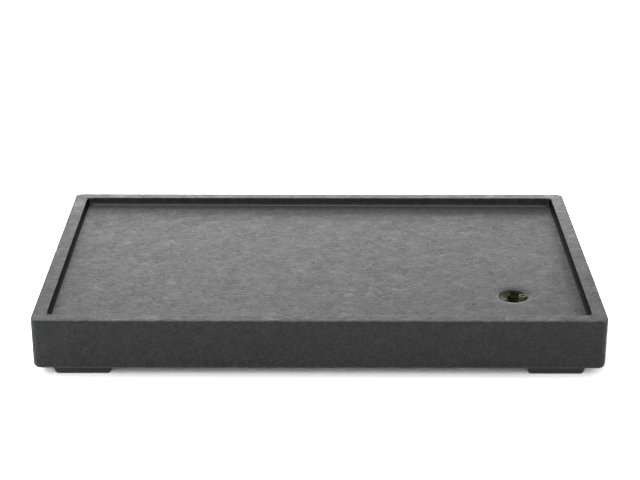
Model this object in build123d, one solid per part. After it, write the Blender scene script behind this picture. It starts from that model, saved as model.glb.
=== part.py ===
"""Gongfu tea tray: one slab of dark stone with a shallow tea well, a corner drain and rubber feet.

The slab is carved from one block. Its well has upright walls and a floor that falls a little
towards the drain in the front right corner. A moulded drain mouth sits in a round pit in the
floor, and its threaded tail passes through the web of stone below. A washer and a lock nut
clamp it from a pocket in the underside, where an elbow with a hose barb pushes on over a seal.
The hose leaves through a channel to the right-hand end. Four tapered rubber feet are bonded
into shallow seats.

X runs along the tray, Y from front to back and Z up. The origin is on the table, under the
middle of the slab. All sizes are in millimetres.
"""

from build123d import *
import math
import os

# Slab
tray_length = 400.0
tray_depth = 240.0
slab_height = 38.0
corner_radius = 5.0
top_edge_radius = 0.9
under_edge_radius = 4.0

# Tea well: the floor is highest at the rear left corner
rim_width = 9.5
end_rim_width = 10.3
well_depth = 5.6
well_corner_radius = 5.0
well_foot_radius = 1.4
rim_inner_chamfer = 0.5
floor_fall_right = 0.8
floor_fall_front = 0.5

# Feet
foot_length = 44.0
foot_depth = 22.0
foot_height = 7.0
foot_taper = 3.0
foot_corner_radius = 5.0
foot_seat_depth = 0.8
foot_seat_gap = 0.2
foot_from_end = 11.5
foot_from_front = 5.0

# Drain pit in the floor, and the pocket below it
drain_from_right = 59.9
drain_from_front = 56.2
pit_diameter = 20.4
pit_lip_radius = 0.7
dish_diameter = 30.0
dish_depth = 0.5
web_thickness = 4.4
web_bore_diameter = 14.4
pocket_diameter = 34.0
channel_width = 14.0

# Drain mouth: a low face with a raised side that slopes in from the left, and a sump
mouth_gap = 0.3
mouth_low = 4.1
mouth_dip = 0.5
mouth_flange_thickness = 2.4
side_high = 0.6
side_dip = 2.2
side_start = 104.0
side_turn = 118.0
side_steps = 6
sump_diameter = 12.6
sump_right = 1.6
sump_front = 0.7
sump_plate = 1.0
post_diameter = 5.6
post_hole_diameter = 3.6
post_hole_depth = 2.4
post_from_axis = 7.05
post_angle = 10.0
post_drop = 0.4
tail_diameter = 13.6
tail_bore_diameter = 8.0
spigot_diameter = 11.6
spigot_chamfer = 0.4

# Clamping parts
gasket_thickness = 1.0
gasket_margin = 0.3
washer_thickness = 0.8
washer_width = 3.8
ring_gap = 0.2
nut_thickness = 3.4
nut_across_flats = 20.0
nut_chamfer = 0.5
thread_gap = 0.1

# Elbow, with a socket for the spigot and a barb for a hose
elbow_gap = 0.3
socket_depth = 5.4
socket_gap = 0.2
socket_wall = 2.2
socket_end_gap = 0.4
outlet_drop = 4.0
outlet_diameter = 10.8
outlet_bore_diameter = 6.6
barrel_length = 11.5
collar_diameter = 12.0
collar_thickness = 1.5
barb_root_diameter = 8.2
barb_crest_diameter = 9.8
barb_pitch = 4.2
barb_land = 0.7
barb_lead = 1.2
barb_count = 3

# Seal in the spigot's groove
seal_section = 1.4
groove_from_end = 1.3
groove_gap = 0.15

# How far a cut runs past the face that it opens
overrun = 5.0

slab_bottom = foot_height
slab_top = foot_height + slab_height
well_length = tray_length - 2 * end_rim_width
well_width = tray_depth - 2 * rim_width
drain_x = tray_length / 2 - drain_from_right
drain_y = drain_from_front - tray_depth / 2


def floor_height(x, y):
    """Height of the well's sloping floor over the table."""
    right = floor_fall_right * (x / well_length + 1 / 2)
    front = floor_fall_front * (1 / 2 - y / well_width)
    return slab_top - well_depth - right - front


# Heights of the drain's parts, from the floor down
drain_floor = floor_height(drain_x, drain_y)
mouth_face = drain_floor - mouth_low
flange_bottom = mouth_face - mouth_flange_thickness
sump_bottom = flange_bottom + sump_plate
pit_bottom = flange_bottom - gasket_thickness
pocket_top = pit_bottom - web_thickness
washer_bottom = pocket_top - washer_thickness
nut_bottom = washer_bottom - nut_thickness
elbow_top = nut_bottom - elbow_gap
socket_bottom = elbow_top - socket_depth
outlet_height = socket_bottom - outlet_drop
spigot_end = socket_bottom + socket_end_gap

# Diameters that follow from what fits in what
flange_diameter = pit_diameter - 2 * mouth_gap
nut_bore_diameter = tail_diameter + 2 * thread_gap
ring_bore_diameter = tail_diameter + 2 * ring_gap
socket_diameter = spigot_diameter + 2 * socket_gap
groove_diameter = socket_diameter - 2 * seal_section
barb_start = barrel_length + collar_thickness
barb_end = barb_start + barb_count * barb_pitch


def on_drain(height):
    """A place on the drain's axis at a height over the table."""
    return Pos(drain_x, drain_y, height)


def turned(points):
    """The solid that a closed outline of (radius, height) points makes round the drain's axis."""
    outline = make_face(Polyline(*points, close=True))
    return Pos(drain_x, drain_y, 0) * revolve(Plane.XZ * outline, Axis.Z)


def disc(diameter, bottom, top):
    """An upright cylinder on the drain's axis between two heights."""
    return on_drain(bottom) * extrude(Circle(diameter / 2), top - bottom)


def slab():
    """The stone block with its corners and edges eased."""
    outline = RectangleRounded(tray_length, tray_depth, corner_radius)
    block = Pos(0, 0, slab_bottom) * extrude(outline, slab_height)
    block = fillet(block.faces().sort_by(Axis.Z)[0].edges(), under_edge_radius)
    return fillet(block.faces().sort_by(Axis.Z)[-1].edges(), top_edge_radius)


def well():
    """The space of the tea well, with a sloping floor and a cove at the foot of its walls."""
    lowest = floor_height(well_length / 2, -well_width / 2) - overrun
    outline = RectangleRounded(well_length, well_width, well_corner_radius)
    column = Pos(0, 0, lowest) * extrude(outline, slab_top + overrun - lowest)
    slope = (floor_fall_right / well_length, -floor_fall_front / well_width, 1)
    floor = Plane(origin=(0, 0, floor_height(0, 0)), z_dir=slope)
    space = split(column, bisect_by=floor, keep=Keep.TOP)
    return fillet(space.faces().sort_by(Axis.Z)[0].edges(), well_foot_radius)


def drain_space():
    """The turned space of the drain: dish, eased lip, pit, bore through the web, and pocket."""
    dish = dish_diameter / 2
    pit = pit_diameter / 2
    web = web_bore_diameter / 2
    pocket = pocket_diameter / 2
    above = drain_floor + overrun
    below = slab_bottom - overrun
    lip = drain_floor - dish_depth
    lip_mid = pit_lip_radius * (1 - math.sqrt(1 / 2))
    return turned(
        [
            (0, above),
            (dish, above),
            (dish, drain_floor),
            (pit + pit_lip_radius, lip),
            (pit + lip_mid, lip - lip_mid),
            (pit, lip - pit_lip_radius),
            (pit, pit_bottom),
            (web, pit_bottom),
            (web, pocket_top),
            (pocket, pocket_top),
            (pocket, below),
            (0, below),
        ]
    )


def hose_channel():
    """The round-topped channel in the underside, from the pocket out to the right-hand end."""
    drop = outlet_height - slab_bottom + overrun
    section = Circle(channel_width / 2) + Pos(0, -drop / 2) * Rectangle(channel_width, drop)
    start = Plane(origin=(drain_x, drain_y, outlet_height), x_dir=(0, 1, 0), z_dir=(1, 0, 0))
    return extrude(start * section, drain_from_right + overrun)


def foot_places():
    """The name and middle of each foot, seen from the front."""
    x = tray_length / 2 - foot_from_end - foot_length / 2
    y = tray_depth / 2 - foot_from_front - foot_depth / 2
    return {
        "front_left_foot": (-x, -y),
        "front_right_foot": (x, -y),
        "rear_left_foot": (-x, y),
        "rear_right_foot": (x, y),
    }


def foot_seat(x, y):
    """The shallow seat that a foot is bonded into."""
    outline = RectangleRounded(
        foot_length + 2 * foot_seat_gap,
        foot_depth + 2 * foot_seat_gap,
        foot_corner_radius + foot_seat_gap,
    )
    return Pos(x, y, slab_bottom - overrun) * extrude(outline, overrun + foot_seat_depth)


def stone_tray():
    """The carved slab."""
    tray = slab() - well()
    rim_face = tray.faces().sort_by(Axis.Z)[-1]
    tray = chamfer(rim_face.inner_wires()[0].edges(), rim_inner_chamfer)
    tray = tray - drain_space() - hose_channel()
    for x, y in foot_places().values():
        tray = tray - foot_seat(x, y)
    return tray


def foot(x, y):
    """A moulded rubber foot that tapers down to the table."""
    outline = Pos(0, 0, slab_bottom) * RectangleRounded(foot_length, foot_depth, foot_corner_radius)
    slant = math.degrees(math.atan2(foot_taper, foot_height))
    body = extrude(outline, foot_height, dir=(0, 0, -1), taper=slant)
    return Pos(x, y, 0) * (body + extrude(outline, foot_seat_depth))


def mouth_section(drop, dip):
    """Half of the mouth's head as (radius, height) points, its top some drop below the floor."""
    inner = tail_bore_diameter / 4
    outer = flange_diameter / 2
    top = drain_floor - drop
    return [(inner, flange_bottom), (outer, flange_bottom), (outer, top), (inner, top - dip)]


def raised_side():
    """The high side of the mouth's head, a fan of upright sections on its left."""
    sections = []
    for step in range(side_steps + 1):
        angle = math.radians(side_start + side_turn * step / side_steps)
        out = (math.cos(angle), math.sin(angle), 0)
        across = (math.sin(angle), -math.cos(angle), 0)
        plane = Plane(origin=(drain_x, drain_y, 0), x_dir=out, z_dir=across)
        corners = mouth_section(side_high, side_dip)
        sections.append(plane * make_face(Polyline(*corners, close=True)))
    return loft(sections, ruled=True)


def sump():
    """The deeper round space in the mouth's head, off the drain's axis."""
    place = Pos(drain_x + sump_right, drain_y - sump_front, sump_bottom)
    return place * extrude(Circle(sump_diameter / 2), drain_floor - sump_bottom)


def strainer_post():
    """The hollow post that stands on the low side of the mouth's head."""
    angle = math.radians(post_angle)
    x = drain_x + post_from_axis * math.cos(angle)
    y = drain_y + post_from_axis * math.sin(angle)
    top = drain_floor - post_drop
    post = Pos(x, y, flange_bottom) * extrude(Circle(post_diameter / 2), top - flange_bottom)
    hole = Pos(x, y, top - post_hole_depth) * extrude(Circle(post_hole_diameter / 2), post_hole_depth)
    return post - hole


def drain_mouth():
    """The flanged mouth with its raised side, sump and post, threaded tail and grooved spigot."""
    tail = tail_diameter / 2
    spigot = spigot_diameter / 2
    groove = groove_diameter / 2
    groove_low = spigot_end + groove_from_end
    groove_high = groove_low + seal_section + 2 * groove_gap
    stem = turned(
        [
            (0, flange_bottom),
            (tail, flange_bottom),
            (tail, nut_bottom),
            (spigot, nut_bottom),
            (spigot, groove_high),
            (groove, groove_high),
            (groove, groove_low),
            (spigot, groove_low),
            (spigot, spigot_end + spigot_chamfer),
            (spigot - spigot_chamfer, spigot_end),
            (0, spigot_end),
        ]
    )
    rim = disc(flange_diameter, flange_bottom, drain_floor)
    head = (turned(mouth_section(mouth_low, mouth_dip)) + raised_side()) & rim
    head = head - sump() + strainer_post()
    return head + stem - disc(tail_bore_diameter, spigot_end - overrun, drain_floor)


def flat_ring(outer_diameter, inner_diameter, bottom, top):
    """A plain ring on the drain's axis."""
    hole = disc(inner_diameter, bottom - overrun, top + overrun)
    return disc(outer_diameter, bottom, top) - hole


def mouth_gasket():
    """The soft ring between the mouth's flange and the bottom of the pit."""
    outer = flange_diameter - 2 * gasket_margin
    return flat_ring(outer, ring_bore_diameter, pit_bottom, flange_bottom)


def clamp_washer():
    """The slip washer between the stone web and the lock nut."""
    outer = ring_bore_diameter + 2 * washer_width
    return flat_ring(outer, ring_bore_diameter, washer_bottom, pocket_top)


def lock_nut():
    """The thin hexagon nut that pulls the mouth down on its gasket."""
    outline = RegularPolygon(nut_across_flats / 2, 6, major_radius=False)
    blank = on_drain(nut_bottom) * extrude(outline, nut_thickness)
    corner = nut_across_flats / math.sqrt(3)
    nut = blank & turned(
        [
            (0, nut_bottom),
            (corner - nut_chamfer, nut_bottom),
            (corner, nut_bottom + nut_chamfer),
            (corner, washer_bottom - nut_chamfer),
            (corner - nut_chamfer, washer_bottom),
            (0, washer_bottom),
        ]
    )
    return nut - disc(nut_bore_diameter, nut_bottom - overrun, washer_bottom + overrun)


def elbow_seal():
    """The ring in the spigot's groove, squeezed flat against the socket's wall."""
    inner = groove_diameter / 2
    outer = socket_diameter / 2
    bottom = spigot_end + groove_from_end + groove_gap
    top = bottom + seal_section
    bulge = seal_section / 4
    return turned(
        [
            (inner, bottom),
            (inner, top),
            (outer - bulge, top),
            (outer, top - bulge),
            (outer, bottom + bulge),
            (outer - bulge, bottom),
        ]
    )


def barb():
    """The hose barb, turned round the outlet's axis: a stop collar and a row of sharp ridges."""
    root = barb_root_diameter / 2
    crest = barb_crest_diameter / 2
    collar = collar_diameter / 2
    points = [(0, 0), (0, outlet_diameter / 2), (barrel_length, outlet_diameter / 2)]
    points += [(barrel_length, collar), (barb_start, collar), (barb_start, root)]
    for tooth in range(barb_count):
        ridge = barb_start + tooth * barb_pitch + barb_lead
        points += [(ridge, root), (ridge, crest), (ridge + barb_land, crest)]
    points += [(barb_end, root), (barb_end, 0)]
    outline = make_face(Polyline(*points, close=True))
    return on_drain(outlet_height) * revolve(outline, Axis.X)


def outlet_elbow():
    """The elbow: a socket over the spigot and a barbed outlet towards the right-hand end."""
    socket_outer = socket_diameter + 2 * socket_wall
    body = disc(socket_outer, socket_bottom - socket_wall, elbow_top)
    knee = disc(outlet_diameter, outlet_height - outlet_diameter / 2, socket_bottom)
    elbow = body + knee + barb()
    elbow = elbow - disc(socket_diameter, socket_bottom, elbow_top + overrun)
    elbow = elbow - disc(outlet_bore_diameter, outlet_height, socket_bottom + overrun)
    run = Plane(origin=(drain_x, drain_y, outlet_height), x_dir=(0, 1, 0), z_dir=(1, 0, 0))
    return elbow - extrude(run * Circle(outlet_bore_diameter / 2), barb_end + overrun)


def main():
    """Builds each piece and writes it to its own file."""
    pieces = {
        "stone_tray": stone_tray(),
        "drain_mouth": drain_mouth(),
        "mouth_gasket": mouth_gasket(),
        "clamp_washer": clamp_washer(),
        "lock_nut": lock_nut(),
        "elbow_seal": elbow_seal(),
        "outlet_elbow": outlet_elbow(),
    }
    for name, (x, y) in foot_places().items():
        pieces[name] = foot(x, y)
    os.makedirs("parts", exist_ok=True)
    for name, piece in pieces.items():
        export_step(piece, f"parts/{name}.step")


main()
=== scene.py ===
"""The looks of the gongfu tea tray: its stone, rubber and moulded plastic, in a plain studio.

The carved slab is modelled here as a fine mesh with the relief of hand-finished stone. Lengths
are in metres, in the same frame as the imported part: X runs along the tray, Y from front to back
and Z up, with the origin on the table under the middle of the slab.
"""

import math
import random

import bmesh
import bpy
from mathutils import Matrix, Vector, kdtree, noise
from mathutils.geometry import delaunay_2d_cdt


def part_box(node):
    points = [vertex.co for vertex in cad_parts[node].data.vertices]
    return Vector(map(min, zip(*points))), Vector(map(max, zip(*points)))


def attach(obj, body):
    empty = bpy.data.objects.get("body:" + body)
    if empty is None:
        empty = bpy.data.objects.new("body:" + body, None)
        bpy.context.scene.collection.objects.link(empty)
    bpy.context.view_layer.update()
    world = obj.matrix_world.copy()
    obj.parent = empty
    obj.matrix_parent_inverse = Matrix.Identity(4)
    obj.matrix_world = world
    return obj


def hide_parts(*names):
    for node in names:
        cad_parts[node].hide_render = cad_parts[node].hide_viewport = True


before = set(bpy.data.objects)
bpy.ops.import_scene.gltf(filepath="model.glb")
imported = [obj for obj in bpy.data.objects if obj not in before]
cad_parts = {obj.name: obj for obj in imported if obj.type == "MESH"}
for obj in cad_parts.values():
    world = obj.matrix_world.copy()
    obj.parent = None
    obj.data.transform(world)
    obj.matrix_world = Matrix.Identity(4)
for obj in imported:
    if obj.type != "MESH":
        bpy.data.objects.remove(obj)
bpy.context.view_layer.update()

mm = 0.001

# Slab
slab_low, slab_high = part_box("stone_tray")
corner_radius = 5.0 * mm
top_edge_radius = 0.4 * mm
under_edge_radius = 4.0 * mm
rim_width = 9.5 * mm
end_rim_width = 10.3 * mm
rim_inner_radius = 0.5 * mm
well_depth = 5.6 * mm
well_corner_radius = 5.0 * mm
well_foot_radius = 1.4 * mm
floor_fall_right = 0.8 * mm
floor_fall_front = 0.5 * mm
worked_depth = 2.0 * well_depth

# Drain pit, pocket, channel and seats of the feet, with the pit round the drain mouth's axis
pit_radius = 10.2 * mm
pit_lip_radius = 0.7 * mm
lip_turn_degrees = 60
dish_radius = 15.0 * mm
dish_depth = 0.5 * mm
web_bore_radius = 7.2 * mm
pocket_radius = 17.0 * mm
channel_radius = 7.0 * mm
foot_corner_radius = 5.0 * mm
foot_seat_gap = 0.2 * mm
overrun = 5.0 * mm
lip_overrun = overrun / 4

# Post in the drain mouth
post_place = (147.04 * mm, -62.58 * mm)
post_radius = 3.1 * mm

# Mesh of the slab
side_step = 1.15 * mm
wall_step = 3.0 * mm
rim_step = 1.2 * mm
corner_steps = 8
under_edge_steps = 6
top_edge_steps = 5
rim_inner_steps = 4
well_foot_steps = 6
well_wall_shares = (0.35, 0.7)
lip_steps = 5
floor_step = 2.3 * mm
floor_margin = 0.6 * floor_step
drain_step = 0.9 * mm
drain_zone = 20.0 * mm
underside_step = 7.0 * mm
turned_steps = 128
sharp_angle = math.radians(38)

# Corners of a rounded rectangle: side in X, side in Y, and where the round begins, in degrees
corner_turns = ((1, -1, -90), (1, 1, 0), (-1, 1, 90), (-1, -1, 180))

# Small lengths and angles within which two places or directions count as one
joined_length = mm / 1000
flat_length = mm / 100
end_slice = mm / 10
plan_tolerance_in_mm = 1e-4
flat_angle = math.radians(0.5)

# Relief of the stone
flake_size = 9.0 * mm
flake_relief = 0.05 * mm
grain_size = 3.2 * mm
grain_relief = 0.03 * mm
grain_shift = Vector((7, 3, 5))
wander_size = 42.0 * mm
wander_relief = 0.06 * mm
wander_shift = Vector((2, 9, 4))
nick_count = 80
nick_size = (0.3 * mm, 0.9 * mm)
nick_depth_share = 0.4
nick_seed = 11

# Edges of the moulded feet
foot_edge_radius = 0.8 * mm
foot_edge_steps = 4
round_profile = 0.5

# Finishes of the stone: material name and shine, by the number that the slab's faces carry
stone_finishes = (("basalt", 0.46), ("basalt_sawn", 0.22), ("basalt_well_ends", 0.03))
sawn_number = 1
well_end_number = 2
upright_steepness = 0.5
rounded_steepness = 0.3

# Sizes of the stone's pattern
plate_size = 9.0 * mm
chip_size = 4.2 * mm
cloud_size = 34.0 * mm
fleck_size = 5.0 * mm
seam_size = 10.0 * mm
fine_grain_size = 1.6 * mm
dust_size = 0.6 * mm
speck_size = 2.6 * mm
bend_size = 5.0 * mm
bend_amount = 0.9 * mm
grown_stretch = (0.85, 1.1, 1)
chip_stretch = (0.8, 0.85, 1)

# Where each part of the pattern begins and is full, on its noise or cells
cell_levels = (0.2, 0.8)
pale_spot = (0.3, 0.4)
pale_plates = (0.68, 0.74)
seam_middle = 0.5
crack_line = (0.008, 0.035)
cracked_flecks = (0.44, 0.54)
chip_edge_line = (0.02, 0.08)
edged_flecks = (0.5, 0.54)
speck_spot = (0.06, 0.16)
speck_cells = (0.58, 0.74)
arris_seam_levels = (0.35, 0.55)
arris_seam_least = 0.45
fleck_levels = (0.4, 0.6)
cloud_levels = (0.35, 0.7)
grain_levels = (0.4, 0.64)
dust_levels = (0.48, 0.66)
blotch_levels = (0.42, 0.62)
mottle_levels = (0.42, 0.54)

# How much the stone's surface rises at each part of the pattern, as shares
plate_rise = 0.2
chip_rise = 0.4
fleck_rise = (0.03, 0.2)
pale_rise = 0.32
sawn_rise = 0.5
full_rise = 0.9
crack_fall = 0.4
chip_border = 0.12

# Colours of the stone, and how strongly each shows
low_tone = (0.016, 0.016, 0.0165)
high_tone = (0.058, 0.057, 0.056)
cloud_show, cloud_tone = 0.35, (0.041, 0.0405, 0.04)
grain_show, grain_tone = 0.6, (0.07, 0.069, 0.068)
dust_show, dust_tone = 0.55, (0.011, 0.011, 0.0115)
blotch_show, blotch_tone = 0.35, (0.07, 0.07, 0.07)
mottle_show, mottle_tone = 0.6, (0.018, 0.018, 0.0185)
side_show, side_tint = 0.8, (0.98, 1.0, 1.03)
crack_mark = (0.75, (0.008, 0.008, 0.0085))
# Painted highlight along some chip edges
chip_edge_highlight_mark = (0.4, (0.14, 0.14, 0.138))
speck_mark = (0.7, (0.19, 0.19, 0.185))
# Painted highlight along the rounded top outer edge, which is also made smoother
arris_highlight_mark = (0.8, (0.3, 0.3, 0.297))
# Painted shade that darkens the well's walls and the cove at the foot of its end walls
wall_shade_mark = (0.85, (0.006, 0.006, 0.0065))
# Painted highlight along the cove at the foot of the well's back wall
foot_line_highlight_mark = (0.9, (0.32, 0.32, 0.317))

# Sheen of the stone: what each part adds, and the roughness at the least and the most
chip_edge_sheen = 0.25
grain_sheen_levels = (0.35, 0.65)
grain_sheen = 0.08
foot_line_sheen = 0.5
crack_sheen = 0.5
arris_sheen = 0.3
wall_sheen = 2.0
sheen_levels = (-0.4, 1.2)
stone_roughness = (0.63, 0.43)

# Fine relief of the stone that only its shading shows
chip_bump = 0.3 * mm
chip_border_bump = 0.05 * mm
grain_bump = 0.09 * mm

# Bands of the slab: the worked top, painted highlights and painted shade: where each begins and is full
worked_heights = (slab_high.z - worked_depth, slab_high.z - 1.8 * well_depth)
top_band = (top_edge_radius / 2, 2 * top_edge_radius)
arris_band = (0.2 * top_edge_radius, 1.6 * top_edge_radius)
arris_heights = (slab_high.z - 0.8 * mm, slab_high.z - 0.2 * mm)
under_rim_heights = (slab_high.z - 2 * rim_inner_radius, slab_high.z)
rim_edge_band = (-1.2 * mm, -0.6 * mm)
long_wall_band = (0.0, 0.4 * mm)
long_wall_share = 0.25
cove_band = (0.75 * well_foot_radius, 1.15 * well_foot_radius)
foot_line_near = (0.3 * well_foot_radius, 0.6 * well_foot_radius)
foot_line_far = (well_foot_radius, 2.2 * well_foot_radius)
foot_line_ends = (3.0 * mm, 6.0 * mm)

# Rubber
foot_rubber_tone = (0.02, 0.02, 0.0205)
seal_rubber_tone = (0.016, 0.016, 0.017)
rubber_bloom_size = 6.0 * mm
rubber_bloom_levels = (0.35, 0.7)
rubber_bloom_lift = 1.6
rubber_roughness_levels = (0.3, 0.7)
rubber_roughness = (0.55, 0.7)
rubber_grain_size = 0.5 * mm
rubber_grain_bump = 0.03 * mm

# Moulded plastic
olive_tones = ((0.024, 0.03, 0.008), (0.052, 0.064, 0.018))
nylon_tones = ((0.014, 0.014, 0.015), (0.022, 0.022, 0.023))
plastic_cloud_size = 5.0 * mm
plastic_cloud_levels = (0.3, 0.7)
plastic_roughness_spread = 0.12
plastic_grain_size = 0.7 * mm
plastic_grain_bump = 0.02 * mm
# How much lighter the painted highlight on the drain mouth's post is
post_highlight_lift = 5.0
near_share = 0.92

# Camera
camera_place = (-1.4 * mm, -1130.9 * mm, 534.7 * mm)
camera_pitch = math.radians(23.0)
camera_yaw = math.radians(-0.093)
camera_roll = math.radians(0.119)
focal_pixels = 1628.7
image_width = 640
sensor_width = 36.0

# Studio floor and world: how bright each is as a source of light, and where it is seen or mirrored
floor_half = 5.0
floor_corners = ((-1, -1), (1, -1), (1, 1), (-1, 1))
floor_bounce = 0.8
floor_seen = 5.2
world_light = 0.26
world_seen = 1.0

# Lamps: place, target, size and power
lamps = {
    "overhead": ((-0.45, 0.6, 1.25), (0, 0, 0), (1.0, 0.8), 6.1),
    "behind": ((-0.5, 1.5, 0.8), (-0.02, 0, 0.03), (1.1, 0.4), 3.8),
    "low_behind": ((0.03, 0.4, 0.09), (0, 0.1, 0.04), (0.6, 0.1), 1.2),
    "front_left": ((-0.4, -1.2, 1), (0, 0, 0), (0.7, 0.5), 2.3),
}

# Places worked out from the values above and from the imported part
end_extra = end_rim_width - rim_width
well_x = slab_high.x - end_rim_width
well_y = slab_high.y - rim_width
mouth_low, mouth_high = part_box("drain_mouth")
drain_x = (mouth_low.x + mouth_high.x) / 2
drain_y = (mouth_low.y + mouth_high.y) / 2


def floor_height(x, y):
    """Height of the well's sloping floor over the table."""
    right = floor_fall_right * (x / well_x + 1) / 2
    front = floor_fall_front * (1 - y / well_y) / 2
    return slab_high.z - well_depth - right - front


def object_from(name, verts, faces):
    """A mesh object in the scene, made from points and faces."""
    mesh = bpy.data.meshes.new(name)
    mesh.from_pydata([tuple(v) for v in verts], [], faces)
    mesh.validate()
    made = bpy.data.objects.new(name, mesh)
    bpy.context.scene.collection.objects.link(made)
    return made


def prism(name, start, end):
    """A closed solid between two outlines that have as many points."""
    count = len(start)
    faces = [tuple(reversed(range(count))), tuple(range(count, 2 * count))]
    for i in range(count):
        after = (i + 1) % count
        faces.append((i, after, after + count, i + count))
    return object_from(name, start + end, faces)


def plan_ring(half_x, half_y, radius):
    """Points of a rounded rectangle, as many for every size, anticlockwise from the front right."""
    x_steps = round(2 * (slab_high.x - corner_radius) / side_step)
    y_steps = round(2 * (slab_high.y - corner_radius) / side_step)
    points = []
    for index, (side_x, side_y, start) in enumerate(corner_turns):
        centre = Vector((side_x * (half_x - radius), side_y * (half_y - radius)))
        for step in range(corner_steps + 1):
            angle = math.radians(start + 90 * step / corner_steps)
            points.append(centre + radius * Vector((math.cos(angle), math.sin(angle))))
        next_x, next_y, next_start = corner_turns[(index + 1) % len(corner_turns)]
        angle = math.radians(next_start)
        target = Vector((next_x * (half_x - radius), next_y * (half_y - radius)))
        target += radius * Vector((math.cos(angle), math.sin(angle)))
        begin = points[-1].copy()
        steps = x_steps if index % 2 else y_steps
        for step in range(1, steps):
            points.append(begin.lerp(target, step / steps))
    return points


def arc_shares(steps):
    """Sine and cosine along a quarter turn."""
    for step in range(1, steps + 1):
        angle = math.pi / 2 * step / steps
        yield math.sin(angle), math.cos(angle)


def slab_sections():
    """The slab's section upwards: (end inset, inset, plan radius, height, on the floor's slope)."""
    bottom, top = slab_low.z, slab_high.z
    sections = [(under_edge_radius, under_edge_radius, corner_radius - under_edge_radius, bottom, False)]
    for rise, run in arc_shares(under_edge_steps):
        inset = under_edge_radius * (1 - rise)
        height = bottom + under_edge_radius * (1 - run)
        sections.append((inset, inset, corner_radius - inset, height, False))
    wall_low, wall_high = bottom + under_edge_radius, top - top_edge_radius
    steps = round((wall_high - wall_low) / wall_step)
    for step in range(1, steps + 1):
        sections.append((0, 0, corner_radius, wall_low + (wall_high - wall_low) * step / steps, False))
    for rise, run in arc_shares(top_edge_steps):
        inset = top_edge_radius * (1 - run)
        height = top - top_edge_radius * (1 - rise)
        sections.append((inset, inset, corner_radius - inset, height, False))
    rim_low, rim_high = top_edge_radius, rim_width - rim_inner_radius
    steps = round((rim_high - rim_low) / rim_step)
    for step in range(1, steps + 1):
        share = step / steps
        radius = (corner_radius - rim_low) * (1 - share) + (well_corner_radius + rim_inner_radius) * share
        inset = rim_low + (rim_high - rim_low) * share
        sections.append((inset + end_extra * share, inset, radius, top, False))
    for rise, run in arc_shares(rim_inner_steps):
        inset = rim_width - rim_inner_radius * (1 - rise)
        radius = well_corner_radius + rim_width - inset
        sections.append((inset + end_extra, inset, radius, top - rim_inner_radius * (1 - run), False))
    for share in well_wall_shares:
        height = rim_inner_radius + share * (well_depth - rim_inner_radius - well_foot_radius)
        sections.append((end_rim_width, rim_width, well_corner_radius, top - height, False))
    sections.append((end_rim_width, rim_width, well_corner_radius, well_foot_radius, True))
    for rise, run in arc_shares(well_foot_steps):
        inset = rim_width + well_foot_radius * (1 - run)
        radius = well_corner_radius + rim_width - inset
        sections.append((inset + end_extra, inset, radius, well_foot_radius * (1 - rise), True))
    return sections


def hex_points(half_x, half_y, spacing, keep):
    """Points of a triangular grid inside a rectangle, those that keep accepts."""
    points = []
    row_height = spacing * math.sqrt(3) / 2
    rows = int(2 * half_y / row_height)
    columns = int(2 * half_x / spacing)
    for row in range(rows + 1):
        for column in range(columns + 1):
            x = -half_x + (column + row % 2 / 2) * spacing
            y = -half_y + row * row_height
            if abs(x) < half_x and keep(x, y):
                points.append(Vector((x, y)))
    return points


def capped(ring, inner):
    """Triangles that fill a ring of points with inner points, as numbers into ring + inner."""
    count = len(ring)
    edges = [(i, (i + 1) % count) for i in range(count)]
    millimetres = [point / mm for point in ring + inner]
    result = delaunay_2d_cdt(millimetres, edges, [], 1, plan_tolerance_in_mm, True)
    faces, origins = result[2], result[3]
    triangles = [tuple(origins[corner][0] for corner in face) for face in faces]
    return [triangle for triangle in triangles if not thin(triangle, ring)]


def thin(triangle, ring):
    """Whether a triangle only joins three points of one straight side of the ring."""
    if max(triangle) >= len(ring):
        return False
    a, b, c = (ring[number] for number in triangle)
    longest = max((b - a).length, (c - b).length, (a - c).length)
    return abs((b - a).cross(c - a)) < longest * flat_length


def drain_distance(x, y):
    """Distance from the drain's axis in plan."""
    return math.hypot(x - drain_x, y - drain_y)


def dish(x, y):
    """How far the shallow dish round the drain lowers the floor."""
    share = min(max((dish_radius - drain_distance(x, y)) / (dish_radius - pit_radius), 0), 1)
    return dish_depth * share * share * (3 - 2 * share)


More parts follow.
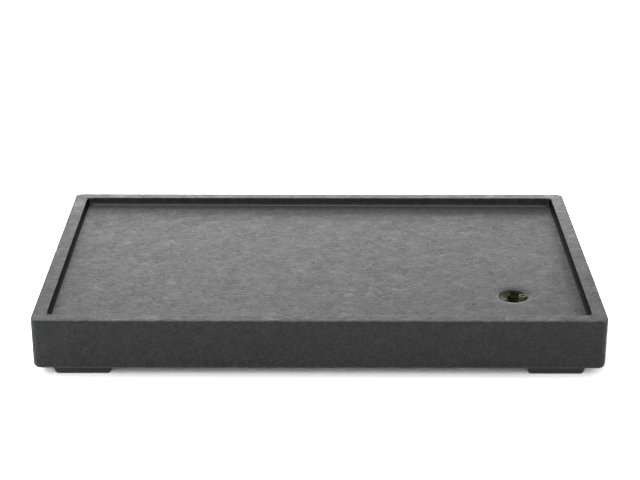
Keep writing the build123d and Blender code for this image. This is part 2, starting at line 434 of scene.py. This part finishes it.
def slab_blank():
    """The closed mesh of the slab with its well, before the drain and the seats are cut."""
    verts = []
    faces = []
    sections = slab_sections()
    for end_inset, inset, radius, height, sloping in sections:
        for point in plan_ring(slab_high.x - end_inset, slab_high.y - inset, radius):
            base = floor_height(point.x, point.y) if sloping else 0
            verts.append(Vector((point.x, point.y, base + height)))
    count = len(verts) // len(sections)
    for level in range(len(sections) - 1):
        for i in range(count):
            a = level * count + i
            b = level * count + (i + 1) % count
            faces.append((a, b, b + count, a + count))

    half_x, half_y = well_x - well_foot_radius, well_y - well_foot_radius
    outline = plan_ring(half_x, half_y, well_corner_radius - well_foot_radius)
    half_x, half_y = half_x - floor_margin, half_y - floor_margin
    inner = hex_points(half_x, half_y, floor_step, lambda x, y: drain_distance(x, y) > drain_zone)
    reach = drain_zone - drain_step
    near = hex_points(drain_zone, drain_zone, drain_step, lambda x, y: math.hypot(x, y) < reach)
    inner += [point + Vector((drain_x, drain_y)) for point in near]
    numbers = list(range(len(verts) - count, len(verts) + len(inner)))
    for point in inner:
        verts.append(Vector((point.x, point.y, floor_height(point.x, point.y) - dish(point.x, point.y))))
    faces += [tuple(numbers[i] for i in triangle) for triangle in capped(outline, inner)]

    inset = under_edge_radius
    outline = plan_ring(slab_high.x - inset, slab_high.y - inset, corner_radius - inset)
    half_x, half_y = slab_high.x - inset - side_step, slab_high.y - inset - side_step
    inner = hex_points(half_x, half_y, underside_step, lambda x, y: True)
    numbers = list(range(count)) + list(range(len(verts), len(verts) + len(inner)))
    for point in inner:
        verts.append(Vector((point.x, point.y, slab_low.z)))
    faces += [tuple(numbers[i] for i in reversed(triangle)) for triangle in capped(outline, inner)]
    return object_from("carved_slab", verts, faces)


def swell(place):
    """Smooth noise at a place, from 0 to 1."""
    return 0.5 + 0.5 * noise.noise(place)


def relief(place):
    """How far the stone's surface lies under its ideal face at a place."""
    return flake_relief * swell(place / flake_size) + grain_relief * swell(place / grain_size + grain_shift)


def weather(slab):
    """Lowers the slab's faces by the stone's relief and lets its edges wander and nick a little."""
    made = bmesh.new()
    made.from_mesh(slab.data)
    made.normal_update()
    tree = kdtree.KDTree(len(made.verts))
    for vert in made.verts:
        tree.insert(vert.co, vert.index)
    tree.balance()
    made.verts.ensure_lookup_table()
    moves = [vert.normal * -relief(vert.co) for vert in made.verts]
    for vert in made.verts:
        sideways = Vector((vert.normal.x, vert.normal.y, 0))
        moves[vert.index] -= sideways * wander_relief * swell(vert.co / wander_size + wander_shift)

    random.seed(nick_seed)
    outer = (slab_high.x, slab_high.y)
    inner = (well_x, well_y)
    for _ in range(nick_count):
        half_x, half_y = random.choice((outer, inner))
        along = random.uniform(-1, 1)
        side = random.choice((-1, 1))
        on_long_side = random.random() < half_x / (half_x + half_y)
        x, y = (along * half_x, side * half_y) if on_long_side else (side * half_x, along * half_y)
        size = random.uniform(*nick_size)
        centre = Vector((x, y, slab_high.z))
        for _, index, distance in tree.find_range(centre, size):
            depth = nick_depth_share * (size - distance)
            moves[index] -= made.verts[index].normal * depth
    for vert in made.verts:
        vert.co += moves[vert.index]
    made.to_mesh(slab.data)
    made.free()


def turned(name, outline):
    """A closed solid turned round the drain's axis from (radius, height) points, its ends on the axis."""
    verts = []
    faces = []
    rings = []
    for radius, height in outline:
        if radius == 0:
            rings.append([len(verts)])
            verts.append((drain_x, drain_y, height))
            continue
        rings.append(list(range(len(verts), len(verts) + turned_steps)))
        for step in range(turned_steps):
            angle = 2 * math.pi * step / turned_steps
            verts.append((drain_x + radius * math.cos(angle), drain_y + radius * math.sin(angle), height))
    for low, high in zip(rings, rings[1:]):
        for step in range(turned_steps):
            after = (step + 1) % turned_steps
            if len(low) == 1:
                faces.append((low[0], high[after], high[step]))
            elif len(high) == 1:
                faces.append((low[step], low[after], high[0]))
            else:
                faces.append((low[step], low[after], high[after], high[step]))
    return object_from(name, verts, faces)


def drain_cutter():
    """The space of the pit with its rounded lip, the bore through the web, and the pocket."""
    nut_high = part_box("clamp_washer")[1].z
    gasket_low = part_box("mouth_gasket")[0].z
    lip = floor_height(drain_x, drain_y) - dish_depth
    outline = [
        (0, slab_low.z - overrun),
        (pocket_radius, slab_low.z - overrun),
        (pocket_radius, nut_high),
        (web_bore_radius, nut_high),
        (web_bore_radius, gasket_low),
        (pit_radius, gasket_low),
        (pit_radius, lip - pit_lip_radius),
    ]
    for step in range(1, lip_steps + 1):
        angle = math.radians(lip_turn_degrees * step / lip_steps)
        radius = pit_radius + pit_lip_radius * (1 - math.cos(angle))
        outline.append((radius, lip - pit_lip_radius * (1 - math.sin(angle))))
    slant = math.tan(math.radians(lip_turn_degrees))
    outline.append((outline[-1][0] + slant * lip_overrun, outline[-1][1] + lip_overrun))
    outline.append((outline[-1][0], lip + overrun))
    outline.append((0, lip + overrun))
    return turned("drain_cutter", outline)


def channel_cutter():
    """The round-topped channel from the pocket to the right-hand end."""
    axis = outlet_height()
    section = [(-channel_radius, slab_low.z - overrun), (channel_radius, slab_low.z - overrun)]
    for step in range(turned_steps // 2 + 1):
        angle = 2 * math.pi * step / turned_steps
        section.append((channel_radius * math.cos(angle), axis + channel_radius * math.sin(angle)))
    start = [(drain_x, drain_y + side, height) for side, height in section]
    end = [(slab_high.x + overrun, drain_y + side, height) for side, height in section]
    return prism("channel_cutter", start, end)


def outlet_height():
    """Height of the barb's axis, from the elbow's open end."""
    ends = [v.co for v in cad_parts["outlet_elbow"].data.vertices]
    end_x = max(v.x for v in ends)
    heights = [v.z for v in ends if v.x > end_x - end_slice]
    return (min(heights) + max(heights)) / 2


def seat_cutter(foot):
    """The space of the seat that a foot is bonded into."""
    low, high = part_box(foot)
    half_x = (high.x - low.x) / 2 + foot_seat_gap
    half_y = (high.y - low.y) / 2 + foot_seat_gap
    centre = (low + high) / 2
    radius = foot_corner_radius + foot_seat_gap
    points = []
    for side_x, side_y, start in corner_turns:
        for step in range(corner_steps + 1):
            angle = math.radians(start + 90 * step / corner_steps)
            x = centre.x + side_x * (half_x - radius) + radius * math.cos(angle)
            y = centre.y + side_y * (half_y - radius) + radius * math.sin(angle)
            points.append((x, y))
    mouth = [(x, y, slab_low.z - overrun) for x, y in points]
    seat = [(x, y, high.z) for x, y in points]
    return prism(foot + "_cutter", mouth, seat)


def cut(piece, cutter):
    """Takes a cutter's space out of a piece and removes the cutter."""
    modifier = piece.modifiers.new("cut", "BOOLEAN")
    modifier.operation = "DIFFERENCE"
    modifier.solver = "MANIFOLD"
    modifier.object = cutter
    result = bpy.data.meshes.new_from_object(piece.evaluated_get(bpy.context.evaluated_depsgraph_get()))
    if len(result.vertices) == len(piece.data.vertices):
        raise ValueError(cutter.name + " left the stone uncut")
    piece.modifiers.clear()
    piece.data = result
    bpy.data.objects.remove(cutter)


def shade(piece):
    """Smooth shading, with a hard line wherever two faces meet at more than the sharp angle."""
    made = bmesh.new()
    made.from_mesh(piece.data)
    for face in made.faces:
        face.smooth = True
    for edge in made.edges:
        edge.smooth = len(edge.link_faces) == 2 and edge.calc_face_angle(0) < sharp_angle
    made.to_mesh(piece.data)
    made.free()


def carved_slab():
    """The stone slab with its relief, drain, channel and seats."""
    slab = slab_blank()
    weather(slab)
    cut(slab, drain_cutter())
    cut(slab, channel_cutter())
    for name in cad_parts:
        if name.endswith("_foot"):
            cut(slab, seat_cutter(name))
    shade(slab)
    return slab


def part_finishes(slab):
    """Numbers the slab's faces by finish, where the worked top keeps number 0."""
    for face in slab.data.polygons:
        across, along, height = face.center
        inset = min(slab_high.x - abs(across), slab_high.y - abs(along))
        steepness = 1 - abs(face.normal.z)
        outside = inset < rim_width / 2 and steepness > upright_steepness
        if outside or height < slab_high.z - worked_depth:
            face.material_index = sawn_number
            continue
        if abs(along) > well_y + rim_inner_radius:
            continue
        from_end = well_x - abs(across)
        rounded = from_end > -rim_inner_radius and steepness > rounded_steepness
        if from_end < well_foot_radius and (from_end > 0 or rounded):
            face.material_index = well_end_number


def visible_copy(name):
    """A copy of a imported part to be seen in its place, with its loose corners joined."""
    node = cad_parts[name]
    copy = bpy.data.objects.new(name + "_visible", node.data.copy())
    copy.matrix_world = node.matrix_world
    bpy.context.scene.collection.objects.link(copy)
    made = bmesh.new()
    made.from_mesh(copy.data)
    bmesh.ops.remove_doubles(made, verts=made.verts, dist=joined_length)
    made.to_mesh(copy.data)
    made.free()
    return copy


def round_foot(foot):
    """Rounds the edge where a foot meets the table."""
    made = bmesh.new()
    made.from_mesh(foot.data)
    bmesh.ops.dissolve_limit(made, angle_limit=flat_angle, verts=made.verts, edges=made.edges)
    lowest = [edge for edge in made.edges if max(v.co.z for v in edge.verts) < flat_length]
    bmesh.ops.bevel(
        made,
        geom=lowest,
        offset=foot_edge_radius,
        segments=foot_edge_steps,
        profile=round_profile,
        affect="EDGES",
    )
    made.to_mesh(foot.data)
    made.free()


class Look:
    """A node material: the tree, its Principled shader and short ways to add what they need."""

    def __init__(self, name, **values):
        self.material = bpy.data.materials.new(name)
        self.material.use_nodes = True
        self.tree = self.material.node_tree
        self.shader = self.tree.nodes["Principled BSDF"]
        for socket, value in values.items():
            self.shader.inputs[socket.replace("_", " ")].default_value = value
        self.place = self.tree.nodes.new("ShaderNodeTexCoord").outputs["Object"]

    def link(self, source, node, socket):
        """Joins an output to a named input."""
        self.tree.links.new(source, node.inputs[socket])

    def noise(self, size, detail=4.0, roughness=0.55, distortion=0.0, place=None):
        """Cloudy noise whose features are about as large as size, in metres."""
        node = self.tree.nodes.new("ShaderNodeTexNoise")
        node.inputs["Scale"].default_value = 1 / size
        node.inputs["Detail"].default_value = detail
        node.inputs["Roughness"].default_value = roughness
        node.inputs["Distortion"].default_value = distortion
        self.link(place or self.place, node, "Vector")
        return node.outputs["Fac"]

    def cells(self, size, feature="F1", place=None):
        """Voronoi cells of about that size: the node, for its distance and colour."""
        node = self.tree.nodes.new("ShaderNodeTexVoronoi")
        node.feature = feature
        node.inputs["Scale"].default_value = 1 / size
        self.link(place or self.place, node, "Vector")
        return node

    def stretched(self, shares):
        """The object's coordinates times a share on each axis."""
        node = self.tree.nodes.new("ShaderNodeVectorMath")
        node.operation = "MULTIPLY"
        node.inputs[1].default_value = shares
        self.tree.links.new(self.place, node.inputs[0])
        return node.outputs["Vector"]

    def warped(self, size, amount, place):
        """A place shifted by cloudy noise of that size by about amount."""
        noise_node = self.tree.nodes.new("ShaderNodeTexNoise")
        noise_node.inputs["Scale"].default_value = 1 / size
        noise_node.inputs["Detail"].default_value = 3
        self.link(place, noise_node, "Vector")
        shift = self.tree.nodes.new("ShaderNodeVectorMath")
        shift.operation = "MULTIPLY_ADD"
        shift.inputs[1].default_value = (2 * amount, 2 * amount, 2 * amount)
        self.tree.links.new(noise_node.outputs["Color"], shift.inputs[0])
        self.tree.links.new(place, shift.inputs[2])
        return shift.outputs["Vector"]

    def axes(self):
        """The place's X, Y and Z, each by its name."""
        parts = self.tree.nodes.new("ShaderNodeSeparateXYZ")
        self.tree.links.new(self.place, parts.inputs[0])
        return parts.outputs

    def height(self):
        """Height over the table."""
        return self.axes()["Z"]

    def inside(self, half_x, half_y, radius):
        """How far a place lies inside a rounded rectangle in plan, less than 0 outside it."""
        axes = self.axes()
        past_x = self.maths("SUBTRACT", self.maths("ABSOLUTE", axes["X"], 0), half_x - radius)
        past_y = self.maths("SUBTRACT", self.maths("ABSOLUTE", axes["Y"], 0), half_y - radius)
        corner_x = self.maths("POWER", self.maths("MAXIMUM", past_x, 0), 2)
        corner_y = self.maths("POWER", self.maths("MAXIMUM", past_y, 0), 2)
        corner = self.maths("SQRT", self.maths("ADD", corner_x, corner_y), 0)
        flat = self.maths("MINIMUM", self.maths("MAXIMUM", past_x, past_y), 0)
        return self.maths("SUBTRACT", radius, self.maths("ADD", corner, flat))

    def well_walls(self):
        """Painted shade of the well's walls: 1 on its end walls and the cove at their foot, less on its
        long walls, 0 elsewhere.
        """
        axes = self.axes()
        under_rim = self.ramp(axes["Z"], *under_rim_heights, 1, 0)
        depth = self.inside(well_x, well_y, well_corner_radius)
        within = self.faded(self.ramp(depth, *rim_edge_band), under_rim)
        wall = self.ramp(depth, *long_wall_band, long_wall_share, 0)
        end_depth = self.maths("SUBTRACT", well_x, self.maths("ABSOLUTE", axes["X"], 0))
        cove = self.ramp(end_depth, *cove_band, 1, 0)
        return self.faded(within, self.maths("MAXIMUM", wall, cove))

    def wall_foot(self):
        """1 on the cove at the foot of the well's back wall, which gets a painted highlight and a lower
        roughness, 0 elsewhere.
        """
        axes = self.axes()
        in_x = self.maths("SUBTRACT", well_x, self.maths("ABSOLUTE", axes["X"], 0))
        in_y = self.maths("SUBTRACT", well_y, axes["Y"])
        line = self.ramp(in_y, *foot_line_near)
        line = self.faded(line, self.ramp(in_y, *foot_line_far, 1, 0))
        return self.faded(line, self.ramp(in_x, *foot_line_ends))

    def near(self, place, radius):
        """1 round an upright axis at a place, 0 beyond the radius."""
        axes = self.axes()
        off_x = self.maths("POWER", self.maths("SUBTRACT", axes["X"], place[0]), 2)
        off_y = self.maths("POWER", self.maths("SUBTRACT", axes["Y"], place[1]), 2)
        away = self.maths("SQRT", self.maths("ADD", off_x, off_y), 0)
        return self.ramp(away, near_share * radius, radius, 1, 0)

    def ramp(self, source, low, high, start=0.0, end=1.0):
        """Maps a value from low..high to start..end, held at the ends."""
        node = self.tree.nodes.new("ShaderNodeMapRange")
        node.inputs["From Min"].default_value = low
        node.inputs["From Max"].default_value = high
        node.inputs["To Min"].default_value = start
        node.inputs["To Max"].default_value = end
        self.link(source, node, "Value")
        return node.outputs["Result"]

    def maths(self, operation, first, second):
        """One step of arithmetic between two outputs, or an output and a number."""
        node = self.tree.nodes.new("ShaderNodeMath")
        node.operation = operation
        for index, value in enumerate((first, second)):
            if isinstance(value, (int, float)):
                node.inputs[index].default_value = value
            else:
                self.tree.links.new(value, node.inputs[index])
        return node.outputs["Value"]

    def faded(self, mask, share):
        """A mask times a share, or times another mask."""
        return self.maths("MULTIPLY", mask, share)

    def blend(self, factor, first, second, kind="MIX"):
        """Blends two colours, each an output or an (r, g, b), by a factor."""
        node = self.tree.nodes.new("ShaderNodeMix")
        node.data_type = "RGBA"
        node.blend_type = kind
        if isinstance(factor, (int, float)):
            node.inputs[0].default_value = factor
        else:
            self.tree.links.new(factor, node.inputs[0])
        for index, value in ((6, first), (7, second)):
            if isinstance(value, tuple):
                node.inputs[index].default_value = (*value, 1)
            else:
                self.tree.links.new(value, node.inputs[index])
        return node.outputs[2]

    def bump(self, height, distance, below=None):
        """A bump of that height in metres, on top of another if given."""
        node = self.tree.nodes.new("ShaderNodeBump")
        node.inputs["Distance"].default_value = distance
        self.link(height, node, "Height")
        if below:
            self.link(below, node, "Normal")
        return node.outputs["Normal"]

    def wear(self, socket, source):
        """Feeds an output into the shader."""
        self.link(source, self.shader, socket)


def stone_look(name, shine):
    """Dark basalt: cleft chips and wavy dark seams on the worked top, plain grain on the sawn sides."""
    look = Look(name, IOR=1.5, Specular_IOR_Level=shine)

    outer = look.inside(slab_high.x, slab_high.y, corner_radius)
    upper = look.ramp(look.height(), *worked_heights)
    top = look.faded(look.ramp(outer, *top_band), upper)
    sides = look.maths("SUBTRACT", 1, top)
    # Painted shade on the well's walls
    shaded_walls = look.faded(look.well_walls(), upper)
    # Painted highlight, and a smoother finish, along the foot of the back wall
    highlit_foot_line = look.faded(look.wall_foot(), upper)

    grown = look.stretched(grown_stretch)
    bent = look.warped(bend_size, bend_amount, look.stretched(chip_stretch))
    plates = look.cells(plate_size, place=bent)
    chips = look.cells(chip_size, place=bent)
    chip_edges = look.cells(chip_size, "DISTANCE_TO_EDGE", place=bent)
    specks = look.cells(speck_size)
    clouds = look.noise(cloud_size, detail=3)
    flecks = look.noise(fleck_size, detail=5, roughness=0.65, distortion=0.5, place=grown)
    seams = look.noise(seam_size, detail=4, roughness=0.55, distortion=1.2, place=grown)
    grain = look.noise(fine_grain_size, detail=4, roughness=0.75, place=grown)
    dust = look.noise(dust_size, detail=2, roughness=0.7)

    plate = look.ramp(plates.outputs["Color"], *cell_levels)
    chip = look.ramp(chips.outputs["Color"], *cell_levels)
    pale = look.ramp(plates.outputs["Distance"], *pale_spot, 1, 0)
    pale = look.faded(pale, look.ramp(plates.outputs["Color"], *pale_plates))
    off_seam = look.maths("ABSOLUTE", look.maths("SUBTRACT", seams, seam_middle), 0)
    crack = look.ramp(off_seam, *crack_line, 1, 0)
    crack = look.faded(crack, look.ramp(flecks, *cracked_flecks))
    crack = look.faded(crack, top)
    # Painted highlight along some chip edges, which are also smoother
    lit_edge = look.ramp(chip_edges.outputs["Distance"], *chip_edge_line, 1, 0)
    lit_edge = look.faded(lit_edge, look.ramp(flecks, *edged_flecks))
    lit_edge = look.faded(lit_edge, top)
    dot = look.ramp(specks.outputs["Distance"], *speck_spot, 1, 0)
    speck = look.faded(dot, look.ramp(specks.outputs["Color"], *speck_cells))
    # Painted highlight and a smoother finish along the top outer edge, uneven along the seams
    arris = look.ramp(outer, *arris_band, 1, 0)
    arris = look.faded(arris, look.ramp(look.height(), *arris_heights))
    arris = look.faded(arris, look.ramp(seams, *arris_seam_levels, arris_seam_least, 1))

    level = look.maths("ADD", look.faded(plate, plate_rise), look.faded(chip, chip_rise))
    level = look.maths("ADD", level, look.ramp(flecks, *fleck_levels, *fleck_rise))
    level = look.maths("ADD", level, look.faded(pale, pale_rise))
    level = look.faded(level, look.ramp(top, 0, 1, sawn_rise, 1))

    tone = look.blend(look.ramp(level, 0, full_rise), low_tone, high_tone)
    tone = look.blend(look.ramp(clouds, *cloud_levels, 0, cloud_show), tone, cloud_tone)
    tone = look.blend(look.ramp(grain, *grain_levels, 0, grain_show), tone, grain_tone)
    tone = look.blend(look.ramp(dust, *dust_levels, 0, dust_show), tone, dust_tone)
    blotch = look.faded(sides, look.ramp(seams, *blotch_levels, 0, blotch_show))
    tone = look.blend(blotch, tone, blotch_tone)
    mottle = look.faded(sides, look.ramp(grain, *mottle_levels, mottle_show, 0))
    tone = look.blend(mottle, tone, mottle_tone)
    tone = look.blend(look.faded(sides, side_show), tone, side_tint, "MULTIPLY")
    marks = (
        (crack, crack_mark),
        (lit_edge, chip_edge_highlight_mark),
        (speck, speck_mark),
        (arris, arris_highlight_mark),
        (shaded_walls, wall_shade_mark),
        (highlit_foot_line, foot_line_highlight_mark),
    )
    for mask, (show, mark_tone) in marks:
        tone = look.blend(look.faded(mask, show), tone, mark_tone)
    look.wear("Base Color", tone)

    sheen = look.maths("ADD", level, look.faded(lit_edge, chip_edge_sheen))
    sheen = look.maths("ADD", sheen, look.ramp(grain, *grain_sheen_levels, -grain_sheen, grain_sheen))
    sheen = look.maths("ADD", sheen, look.faded(highlit_foot_line, foot_line_sheen))
    sheen = look.maths("SUBTRACT", sheen, look.faded(crack, crack_sheen))
    sheen = look.maths("ADD", sheen, look.faded(arris, arris_sheen))
    sheen = look.maths("SUBTRACT", sheen, look.faded(shaded_walls, wall_sheen))
    look.wear("Roughness", look.ramp(sheen, *sheen_levels, *stone_roughness))

    relief_height = look.maths("SUBTRACT", level, look.faded(crack, crack_fall))
    normal = look.bump(relief_height, chip_bump)
    border = look.ramp(chip_edges.outputs["Distance"], 0, chip_border)
    normal = look.bump(border, chip_border_bump, below=normal)
    normal = look.bump(grain, grain_bump, below=normal)
    look.wear("Normal", normal)
    return look.material


def rubber_look(name, tone):
    """Moulded black rubber with a faint bloom."""
    look = Look(name, IOR=1.5, Specular_IOR_Level=0.35)
    bloom = look.noise(rubber_bloom_size, detail=4)
    grain = look.noise(rubber_grain_size, detail=2)
    bloomed = tuple(rubber_bloom_lift * c for c in tone)
    look.wear("Base Color", look.blend(look.ramp(bloom, *rubber_bloom_levels), tone, bloomed))
    look.wear("Roughness", look.ramp(bloom, *rubber_roughness_levels, *rubber_roughness))
    look.wear("Normal", look.bump(grain, rubber_grain_bump))
    return look.material


def plastic_look(name, dark, light, rough, through=0.0, shine=0.5, thin=None):
    """Moulded plastic, slightly cloudy, that may let light through, with a painted highlight round an
    upright axis if thin is given.
    """
    look = Look(name, IOR=1.49, Transmission_Weight=through, Specular_IOR_Level=shine)
    cloud = look.noise(plastic_cloud_size, detail=3)
    grain = look.noise(plastic_grain_size, detail=2)
    tone = look.blend(look.ramp(cloud, *plastic_cloud_levels), dark, light)
    # A painted highlight that lightens the plastic round the given axis
    if thin:
        tone = look.blend(look.near(*thin), tone, tuple(post_highlight_lift * c for c in light))
    look.wear("Base Color", tone)
    roughness = (rough, rough + plastic_roughness_spread)
    look.wear("Roughness", look.ramp(cloud, *plastic_cloud_levels, *roughness))
    look.wear("Normal", look.bump(grain, plastic_grain_bump))
    return look.material


def dress(piece, looks):
    """Gives a new piece its materials and its body."""
    piece.data.materials.clear()
    for look in looks:
        piece.data.materials.append(look)
    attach(piece, "root")


def repaint(node, look):
    """Gives a carried-over part a new material in all its slots."""
    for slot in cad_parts[node].material_slots:
        slot.material = look


def studio_floor():
    """A plain pale floor that looks white and gives back a softer light."""
    corners = [(side_x * floor_half, side_y * floor_half, 0) for side_x, side_y in floor_corners]
    floor = object_from("studio_floor", corners, [(0, 1, 2, 3)])
    look = Look("studio_white", Roughness=1.0, Specular_IOR_Level=0.0)
    path = look.tree.nodes.new("ShaderNodeLightPath").outputs
    seen = look.maths("MAXIMUM", path["Is Glossy Ray"], path["Is Transmission Ray"])
    seen = look.maths("MAXIMUM", path["Is Camera Ray"], seen)
    look.wear("Base Color", look.blend(seen, (floor_bounce,) * 3, (floor_seen,) * 3))
    floor.data.materials.append(look.material)


def studio_world():
    """White where it is seen or mirrored, and a softer grey as light."""
    world = bpy.data.worlds.new("studio")
    bpy.context.scene.world = world
    world.use_nodes = True
    tree = world.node_tree
    background = tree.nodes["Background"]
    background.inputs["Color"].default_value = (1, 1, 1, 1)
    path = tree.nodes.new("ShaderNodeLightPath")
    either = path.outputs["Is Camera Ray"]
    for kind in ("Is Glossy Ray", "Is Transmission Ray"):
        node = tree.nodes.new("ShaderNodeMath")
        node.operation = "MAXIMUM"
        tree.links.new(either, node.inputs[0])
        tree.links.new(path.outputs[kind], node.inputs[1])
        either = node.outputs["Value"]
    strength = tree.nodes.new("ShaderNodeMapRange")
    strength.inputs["To Min"].default_value = world_light
    strength.inputs["To Max"].default_value = world_seen
    tree.links.new(either, strength.inputs["Value"])
    tree.links.new(strength.outputs["Result"], background.inputs["Strength"])


def softbox(name, place, target, size, power):
    """A soft rectangular lamp that faces a target and isn't seen itself."""
    lamp = bpy.data.lights.new(name, "AREA")
    lamp.shape = "RECTANGLE"
    lamp.size, lamp.size_y = size
    lamp.energy = power
    made = bpy.data.objects.new(name, lamp)
    made.location = place
    made.rotation_euler = (Vector(target) - Vector(place)).to_track_quat("-Z", "Y").to_euler()
    made.visible_camera = False
    bpy.context.scene.collection.objects.link(made)


def studio_camera():
    """The camera where the photograph was taken from."""
    lens = bpy.data.cameras.new("camera")
    lens.sensor_width = sensor_width
    lens.lens = focal_pixels / image_width * sensor_width
    camera = bpy.data.objects.new("camera", lens)
    turn = Matrix.Rotation(camera_yaw, 4, "Z") @ Matrix.Rotation(math.pi / 2 - camera_pitch, 4, "X")
    camera.matrix_world = Matrix.Translation(camera_place) @ turn @ Matrix.Rotation(camera_roll, 4, "Z")
    bpy.context.scene.collection.objects.link(camera)
    bpy.context.scene.camera = camera


bpy.context.scene.view_settings.view_transform = "Standard"
studio_camera()

# Carved stone slab
slab = carved_slab()
dress(slab, [stone_look(*finish) for finish in stone_finishes])
part_finishes(slab)
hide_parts("stone_tray")

# Feet
feet_look = rubber_look("foot_rubber", foot_rubber_tone)
for name in list(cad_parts):
    if name.endswith("_foot"):
        foot = visible_copy(name)
        round_foot(foot)
        shade(foot)
        dress(foot, [feet_look])
        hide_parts(name)

# Gasket and seal
seal_look = rubber_look("seal_rubber", seal_rubber_tone)
repaint("mouth_gasket", seal_look)
repaint("elbow_seal", seal_look)

# Drain mouth and elbow
# The mouth's post gets a painted highlight
drain_look = plastic_look(
    "olive_plastic", *olive_tones, rough=0.45, through=0.15, shine=0.06, thin=(post_place, post_radius)
)
mouth = visible_copy("drain_mouth")
shade(mouth)
dress(mouth, [drain_look])
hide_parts("drain_mouth")
repaint("outlet_elbow", drain_look)

# Washer and nut
nut_look = plastic_look("black_nylon", *nylon_tones, rough=0.4)
repaint("clamp_washer", nut_look)
repaint("lock_nut", nut_look)

# Studio
studio_floor()
studio_world()
for name, settings in lamps.items():
    softbox(name, *settings)
